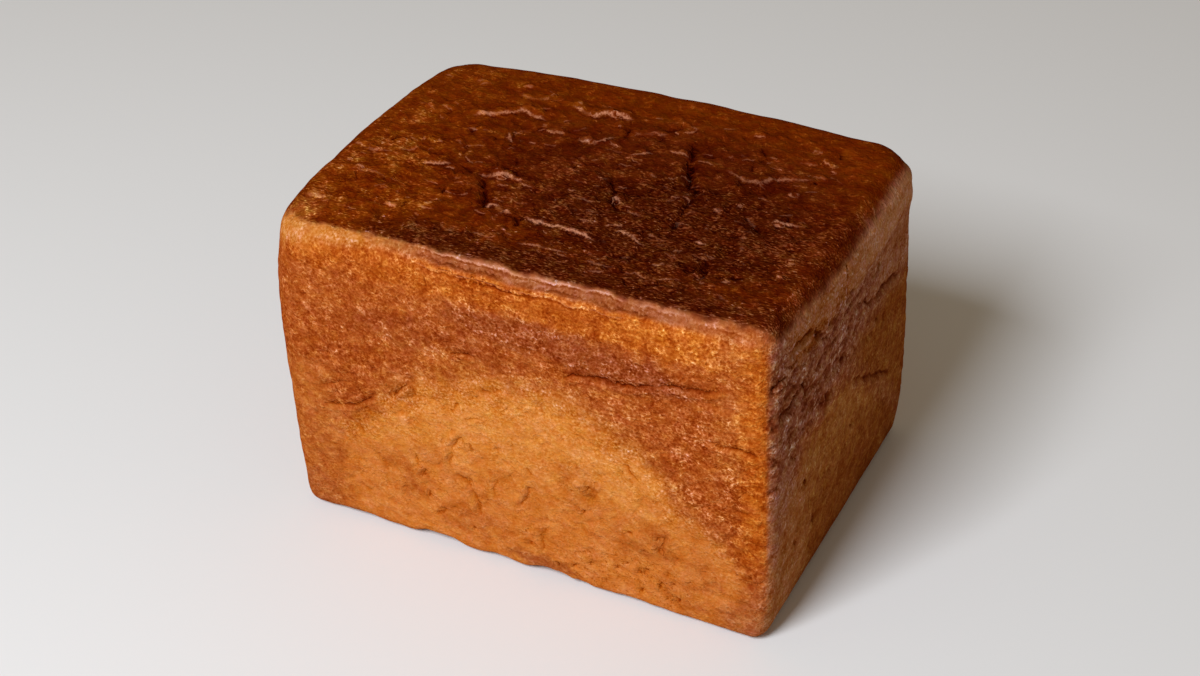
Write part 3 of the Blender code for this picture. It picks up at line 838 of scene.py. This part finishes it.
def store(mesh, name, values):
    """Keeps a number or a colour at every point for the material."""
    if values.ndim == 1:
        mesh.attributes.new(name, "FLOAT", "POINT").data.foreach_set("value", values.astype(np.float32))
        return
    coloured = np.ones((len(values), 4), np.float32)
    coloured[:, :3] = values
    mesh.attributes.new(name, "FLOAT_COLOR", "POINT").data.foreach_set("color", coloured.ravel())


def stand_on_base(points):
    """Moves the points so that the lowest is at table level and their middle is over the origin."""
    points[:, 2] -= points[:, 2].min()
    middle = (points.min(axis=0) + points.max(axis=0)) / 2
    points[:, :2] -= middle[:2]


def crust_marks(crust):
    """What the material reads at every point of the crust."""
    paint, top = painted(crust)
    front, u, v = crust.views["front"]
    right = crust.views["right"][0] * (1 - top)
    pale = (1 - top) * ramp(0.09, 0.15, paint.tone[:, 1])
    reddish = ramp(0.11, 0.05, paint.tone[:, 2] / paint.tone[:, 1])
    return {
        "tone": paint.tone,
        "painted_shading": crust.painted_shading,
        "blot": paint.blot,
        "grain": paint.grain,
        "crack_gap": crust.crack_shading.gap,
        "crack_shading": crust.crack_shading.strength,
        "fold_gap": crust.sheen.gap,
        "sheen": crust.sheen.strength,
        "top_side": top,
        "red_share": 0.53 - 0.06 * pale + 0.05 * top,
        "blue_share": 1.8 + 0.7 * pale - 0.6 * top - 0.3 * right,
        "blue_rise": top * (0.4 + 0.5 * reddish),
        "pits": 0.4 * front * patch(u, v, 38, 10, 24, 12),
    }


def thin_out(loaf):
    """Joins the smallest triangles until the loaf has as few as it should."""
    mesh = loaf.data
    faces = sum(len(p.vertices) - 2 for p in mesh.polygons)
    thin = loaf.modifiers.new("thin", "DECIMATE")
    thin.ratio = MOST_TRIANGLES / faces
    graph = bpy.context.evaluated_depsgraph_get()
    thinned = bpy.data.meshes.new_from_object(loaf.evaluated_get(graph))
    loaf.modifiers.remove(thin)
    loaf.data = thinned
    bpy.data.meshes.remove(mesh)
    thinned.name = PIECE
    thinned.shade_smooth()


def build_loaf():
    mesh = subdivided_block()
    points = settled_block(rounded_block(positions(mesh)))
    move_to(mesh, points)
    normals = point_normals(mesh)
    crust = Crust(points, normals)
    crust.shape()
    relief = crust.relief * ramp(*RELIEF_STARTS, points[:, 2])
    shaped = points + normals * relief[:, None]
    shaped[:, 2] += crust.base_lift()
    stand_on_base(shaped)
    move_to(mesh, shaped * MM)
    for name, values in crust_marks(crust).items():
        store(mesh, name, values)
    loaf = bpy.data.objects.new(PIECE, mesh)
    bpy.context.scene.collection.objects.link(loaf)
    thin_out(loaf)
    return loaf


# Brings the usual size of a noise texture's swing about its mean to 1
NOISE_GAIN = 7.7


class Graph:
    """Adds and links the nodes of one material."""

    def __init__(self, name):
        self.material = bpy.data.materials.new(name)
        self.material.use_nodes = True
        self.tree = self.material.node_tree
        self.shader = self.tree.nodes["Principled BSDF"]

    def node(self, kind, inputs=None, **settings):
        made = self.tree.nodes.new(kind)
        for name, value in settings.items():
            setattr(made, name, value)
        for name, value in (inputs or {}).items():
            self.feed(made.inputs[name], value)
        return made

    def feed(self, socket, value):
        if isinstance(value, bpy.types.NodeSocket):
            self.tree.links.new(value, socket)
        else:
            socket.default_value = value

    def math(self, operation, a, b=0.0, c=0.0):
        return self.node("ShaderNodeMath", {0: a, 1: b, 2: c}, operation=operation).outputs[0]

    def times(self, *factors):
        product = factors[0]
        for factor in factors[1:]:
            product = self.math("MULTIPLY", product, factor)
        return product

    def plus(self, value, part, weight):
        """The value with a weighted part added to it."""
        return self.math("MULTIPLY_ADD", part, weight, value)

    def scaled(self, vector, factors):
        sockets = {0: vector, 1: factors}
        return self.node("ShaderNodeVectorMath", sockets, operation="MULTIPLY").outputs[0]

    def step(self, value, low, high, start=0.0, end=1.0):
        sockets = {"Value": value, "From Min": low, "From Max": high, "To Min": start, "To Max": end}
        made = self.node("ShaderNodeMapRange", sockets, interpolation_type="SMOOTHSTEP")
        return made.outputs["Result"]

    def mix(self, factor, a, b):
        made = self.node("ShaderNodeMix", {"Factor": factor}, data_type="RGBA")
        self.feed(made.inputs[6], a)
        self.feed(made.inputs[7], b)
        return made.outputs[2]

    def noise(self, vector, length, detail, roughness=0.6):
        sockets = {"Vector": vector, "Scale": 1 / length, "Detail": detail, "Roughness": roughness}
        return self.node("ShaderNodeTexNoise", sockets).outputs["Fac"]

    def mark(self, name, output="Fac"):
        return self.node("ShaderNodeAttribute", attribute_name=name).outputs[output]

    def even_noise(self, vector, length, detail):
        """Noise whose mean is 0 and whose usual size is 1."""
        return self.times(self.math("SUBTRACT", self.noise(vector, length, detail, 0.5), 0.5), NOISE_GAIN)

    def ridged_noise(self, vector, length, detail):
        """Fine bright lines over a dull ground, with about the mean and size of even noise."""
        away = self.math("ABSOLUTE", self.even_noise(vector, length, detail))
        return self.math("MAXIMUM", self.plus(1.7, away, -3.0), -0.7)

    def cells(self, vector, size, line):
        """Irregular cells: a random number from -1 to 1 in each, and the lines between them."""
        sockets = {"Vector": vector, "Scale": 1 / size}
        cell = self.node("ShaderNodeTexVoronoi", sockets, feature="F1").outputs["Color"]
        value = self.node("ShaderNodeSeparateXYZ", {0: cell}).outputs[0]
        edge = self.node("ShaderNodeTexVoronoi", sockets, feature="DISTANCE_TO_EDGE").outputs["Distance"]
        return self.plus(-1.0, value, 2.0), self.step(edge, 1.6 * line, 0.3 * line)

    def tinted(self, tone, changes):
        """The tone with a change added to the logarithm of each of its channels."""
        scale = self.node("ShaderNodeCombineXYZ")
        for index, change in enumerate(changes):
            self.feed(scale.inputs[index], self.math("EXPONENT", change))
        return self.scaled(tone, scale.outputs[0])

    def bell(self, value, centre, width):
        """1 where the value is at the centre, falling off over the width."""
        away = self.plus(-centre / width, value, 1 / width)
        return self.math("EXPONENT", self.times(away, away, -1.0))


# Units per metre for blots, for dark streaks and for the top's specks, which all lie along the loaf
STRETCH = (0.9 / MM, 1.0 / MM, 1.1 / MM)
STREAKS = (0.22 / MM, 0.42 / MM, 0.85 / MM)
DASHES = (0.52 / MM, 1.5 / MM, 1.5 / MM)

# The fine cells, in mm: their size, the width of the lines between them and their curl
CELL, CELL_LINE, CURL = 1.4, 0.13, 0.9

# How far each pattern changes the logarithm of the tone, on the walls and on the top
BLOT_CHANGES = {"broad": (0.04, 0.10), "blots": (0.10, 0.18), "mottle": (0.18, 0.15), "ridge": (0.09, 0.09)}
GRAIN_CHANGES = {"speckle": (0.4, 0.48), "cell": (0.22, 0.05), "lace": (1.0, 0.25), "streak": (-0.45, -0.6)}
# Brightening by threads and by specks, which also paint glints; darkening by pits, which is painted shade in
# them; the largest change
THREAD_CHANGE, SPECK_AND_GLINT_CHANGE, PIT_SHADE_CHANGE, MOST_CHANGE = 0.95, 0.9, -1.2, 1.8

# The lines of a furrow and of a fold: middle and spread in half widths, then change on walls and top; the
# furrow's line and halo are painted shade and its lip a painted highlight, the fold's foot is painted shade
# and its crest and back a painted highlight
FURROW_LINES = {"line": (0, 0.3, -1.1, -1.1), "halo": (0, 1.1, -0.35, -0.6), "lip": (-1.2, 0.6, 0.22, 0.22)}
FOLD_LINES = {"foot": (-1.5, 0.45, -1.1, -1.1), "crest": (-0.6, 0.4, 0.9, 0.9), "back": (0.1, 0.9, 0.5, 0.5)}

# Change of tone from which the top's bright places turn less yellow
BLUE_RISE_START = 0.3

# Colour of the stretched skin on the folds, also the painted highlight on their crests
SKIN_AND_HIGHLIGHT = (0.585, 0.238, 0.132, 1)

# Roughness of the walls, and what the top, the stretched skin and the furrows add to it
ROUGHNESS, TOP_ROUGHNESS, SKIN_ROUGHNESS, LINE_ROUGHNESS = 0.55, -0.10, -0.12, 0.2

# Heights of the finest relief, in mm
BUMPS = {"finest": 0.15, "fine": 0.03, "net": 0.06, "ridge": 0.05, "line": -0.35, "pit": -0.3}


def crust_patterns(g, top, tone):
    """The patterns of the crust, by name."""
    place = g.node("ShaderNodeTexCoord").outputs["Object"]
    in_mm = g.scaled(place, (1 / MM,) * 3)
    along = g.scaled(place, STRETCH)
    blots = g.even_noise(along, 6.0, 0.0)
    mottle = g.even_noise(along, 2.4, 1.0)
    fine = g.even_noise(in_mm, 0.85, 1.0)
    dash = g.even_noise(g.scaled(place, DASHES), 0.74, 2.0)
    swirl = g.node("ShaderNodeTexNoise", {"Vector": in_mm, "Scale": 1 / 1.6, "Detail": 1.0})
    sockets = {0: swirl.outputs["Color"], 1: (CURL, CURL, CURL), 2: along}
    curled = g.node("ShaderNodeVectorMath", sockets, operation="MULTIPLY_ADD").outputs[0]
    cell, net = g.cells(curled, CELL, CELL_LINE)
    net = g.times(net, g.step(cell, -1.0, 1.0, 0.2, 1.3), g.step(mottle, -1.5, 1.5, 0.3, 1.2))
    paleness = g.node("ShaderNodeSeparateColor", {0: tone}).outputs[1]
    streak = g.math("ABSOLUTE", g.even_noise(g.scaled(place, STREAKS), 1.0, 1.0))
    thread = g.math("ABSOLUTE", g.even_noise(along, 4.5, 2.0))
    return {
        "broad": g.even_noise(in_mm, 15.0, 0.0),
        "blots": blots,
        "mottle": mottle,
        "ridge": g.ridged_noise(along, 3.0, 1.0),
        "fine": fine,
        "finest": g.noise(in_mm, 0.5, 2.0),
        "speckle": g.node("ShaderNodeMix", {"Factor": top, "A": fine, "B": dash}).outputs["Result"],
        # Specks on the top, which also paint glints
        "speck_and_glint": g.times(top, g.mark("grain"), g.step(dash, 1.4, 2.4)),
        "cell": cell,
        "net": net,
        "lace": g.times(net, g.step(paleness, 0.08, 0.15, 0.55, -0.45)),
        "streak": g.times(g.step(streak, 0.30, 0.05), g.step(blots, 1.0, -1.0, 0.25, 1.0)),
        "thread": g.times(top, g.step(thread, 0.17, 0.03), g.step(mottle, -0.5, 1.2)),
        "uneven": g.step(g.even_noise(along, 5.0, 1.0), -1.3, 1.3, 0.7, 1.25),
        "rosy": g.even_noise(along, 3.2, 1.0),
        "bluish": g.even_noise(in_mm, 3.5, 1.0),
        # pit: dark dots of painted shade in the small pits low on the front
        "pit": g.times(g.mark("pits"), g.step(g.noise(in_mm, 0.9, 2.0), 0.40, 0.33)),
    }


def summed(g, patterns, changes, top):
    """The sum of the named patterns, each by its weights on the walls and on the top."""
    total = 0.0
    for name, (on_walls, on_top) in changes.items():
        total = g.plus(total, patterns[name], g.step(top, 0, 1, on_walls, on_top))
    return total


def drawn(g, change, patterns, gap, strength, lines, top):
    """The change with the lines of a mark added, which also join the patterns."""
    for name, (middle, spread, on_walls, on_top) in lines.items():
        patterns[name] = g.times(g.bell(gap, middle, spread), strength)
        change = g.plus(change, patterns[name], g.step(top, 0, 1, on_walls, on_top))
    return change


def tone_change(g, patterns, top):
    """The change of the tone's logarithm by blots, grain, painted shading, specks that also paint glints,
    and the painted shade and highlights of the lines of furrows and folds.
    """
    blots = g.times(summed(g, patterns, BLOT_CHANGES, top), g.mark("blot"))
    grain = g.times(summed(g, patterns, GRAIN_CHANGES, top), patterns["uneven"])
    change = g.plus(blots, grain, g.mark("grain"))
    brighter = g.math("MAXIMUM", change, 0.0)
    change = g.math("MINIMUM", g.plus(change, g.times(brighter, brighter), top), MOST_CHANGE)
    change = g.plus(change, patterns["thread"], THREAD_CHANGE)
    # Painted shade of hollows and creases, and painted light on raised crests
    change = g.math("ADD", change, g.mark("painted_shading"))
    change = g.plus(change, patterns["speck_and_glint"], SPECK_AND_GLINT_CHANGE)
    # Painted shade along the furrows and painted highlight on their lips
    gap = g.plus(g.plus(g.mark("crack_gap"), patterns["fine"], 0.15), patterns["mottle"], 0.2)
    change = drawn(g, change, patterns, gap, g.mark("crack_shading"), FURROW_LINES, top)
    # Painted highlight on the folds' crests and painted shade at their feet
    gap = g.plus(g.mark("fold_gap"), patterns["fine"], 0.15)
    change = drawn(g, change, patterns, gap, g.mark("sheen"), FOLD_LINES, top)
    return g.plus(change, patterns["pit"], PIT_SHADE_CHANGE)


def crust_colour(g, patterns, tone, change, top):
    """The tone with its change shared out over red, green and blue."""
    red = g.plus(g.times(change, g.mark("red_share")), patterns["rosy"], 0.01)
    green = g.plus(change, patterns["rosy"], g.step(top, 0, 1, -0.02, -0.09))
    blue = g.times(change, g.mark("blue_share"))
    bright = g.math("MAXIMUM", g.math("SUBTRACT", change, BLUE_RISE_START), 0.0)
    blue = g.plus(blue, bright, g.mark("blue_rise"))
    blue = g.plus(blue, patterns["bluish"], 0.09)
    blue = g.plus(blue, g.times(patterns["mottle"], g.mark("blot")), -0.12)
    return g.tinted(tone, (red, green, blue))


def crust_material():
    g = Graph(PIECE)
    top = g.mark("top_side")
    tone = g.mark("tone", "Color")
    patterns = crust_patterns(g, top, tone)
    colour = crust_colour(g, patterns, tone, tone_change(g, patterns, top), top)
    crest = patterns["crest"]
    # skin: the painted highlight on the folds' crests, also the paler stretched skin there
    skin = g.times(crest, crest, g.step(patterns["finest"], 0.36, 0.54, 0.5, 1.0))
    colour = g.mix(g.times(skin, 0.8), colour, SKIN_AND_HIGHLIGHT)
    g.feed(g.shader.inputs["Base Color"], colour)

    rough = g.plus(g.plus(ROUGHNESS, top, TOP_ROUGHNESS), skin, SKIN_ROUGHNESS)
    g.feed(g.shader.inputs["Roughness"], g.plus(rough, patterns["line"], LINE_ROUGHNESS))
    g.feed(g.shader.inputs["Coat Weight"], g.plus(skin, patterns["speck_and_glint"], 0.4))
    g.shader.inputs["Coat Roughness"].default_value = 0.3
    g.shader.inputs["Specular IOR Level"].default_value = 0.0

    height = 0.0
    for name, size in BUMPS.items():
        height = g.plus(height, patterns[name], size)
    bump = g.node("ShaderNodeBump", {"Height": height, "Distance": MM, "Strength": 1.0})
    g.feed(g.shader.inputs["Normal"], bump.outputs["Normal"])
    return g.material


def floor_material():
    g = Graph("pale_floor")
    g.shader.inputs["Base Color"].default_value = (0.745, 0.74, 0.74, 1)
    g.shader.inputs["Roughness"].default_value = 0.7
    g.shader.inputs["Specular IOR Level"].default_value = 0.2
    return g.material


def add_floor():
    mesh = bpy.data.meshes.new("floor")
    side = 4.0
    corners = [(-side, -side, 0), (side, -side, 0), (side, side, 0), (-side, side, 0)]
    mesh.from_pydata(corners, [], [(0, 1, 2, 3)])
    floor = bpy.data.objects.new("floor", mesh)
    floor.data.materials.append(floor_material())
    bpy.context.scene.collection.objects.link(floor)


# The room's light, and the soft light beside the loaf: place and size in metres, watts, colour
ROOM_COLOUR, ROOM_STRENGTH = (1.0, 0.83, 0.60, 1), 0.25
KEY_LIGHT = ((-0.207, -1.047, 1.122), 0.546, 26.2, (0.893, 0.94, 1.0))
LIT_POINT = (0, 0, 0.06)


def add_light(name, place, size, watts, colour):
    """A square soft light that faces the loaf."""
    light = bpy.data.lights.new(name, "AREA")
    light.size = size
    light.energy = watts
    light.color = colour
    lamp = bpy.data.objects.new(name, light)
    lamp.location = place
    lamp.rotation_euler = (Vector(LIT_POINT) - Vector(place)).to_track_quat("-Z", "Y").to_euler()
    lamp.visible_camera = False
    bpy.context.scene.collection.objects.link(lamp)


def add_world(colour, strength):
    world = bpy.data.worlds.new("studio")
    world.use_nodes = True
    world.node_tree.nodes["Background"].inputs["Color"].default_value = colour
    world.node_tree.nodes["Background"].inputs["Strength"].default_value = strength
    bpy.context.scene.world = world


# The camera: bearing and height of its line of sight and its roll, in degrees, then in mm
# its distance, the point it looks at, its focal length and the width of its sensor
BEARING, ELEVATION, ROLL = 27.936, 35.189, -2.151
DISTANCE, TARGET, LENS = 658.469, (-3.803, 7.059, 46.954), 58.75
SENSOR_WIDTH = 36


def add_camera():
    turn, lift, roll = (math.radians(a) for a in (BEARING, ELEVATION, ROLL))
    back = Vector((math.sin(turn) * math.cos(lift), -math.cos(turn) * math.cos(lift), math.sin(lift)))
    right = Vector((math.cos(turn), math.sin(turn), 0))
    up = back.cross(right)
    rolled_right = right * math.cos(roll) + up * math.sin(roll)
    rolled_up = up * math.cos(roll) - right * math.sin(roll)
    data = bpy.data.cameras.new("camera")
    data.lens = LENS
    data.sensor_width = SENSOR_WIDTH
    camera = bpy.data.objects.new("camera", data)
    axes = Matrix((rolled_right, rolled_up, back)).transposed().to_4x4()
    place = (Vector(TARGET) + back * DISTANCE) * MM
    camera.matrix_world = Matrix.Translation(place) @ axes
    bpy.context.scene.collection.objects.link(camera)
    bpy.context.scene.camera = camera


loaf = build_loaf()
loaf.data.materials.append(crust_material())
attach(loaf, "root")
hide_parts(NODE)

add_floor()
add_world(ROOM_COLOUR, ROOM_STRENGTH)
add_light("key", *KEY_LIGHT)
add_camera()
bpy.context.scene.view_settings.view_transform = "Standard"
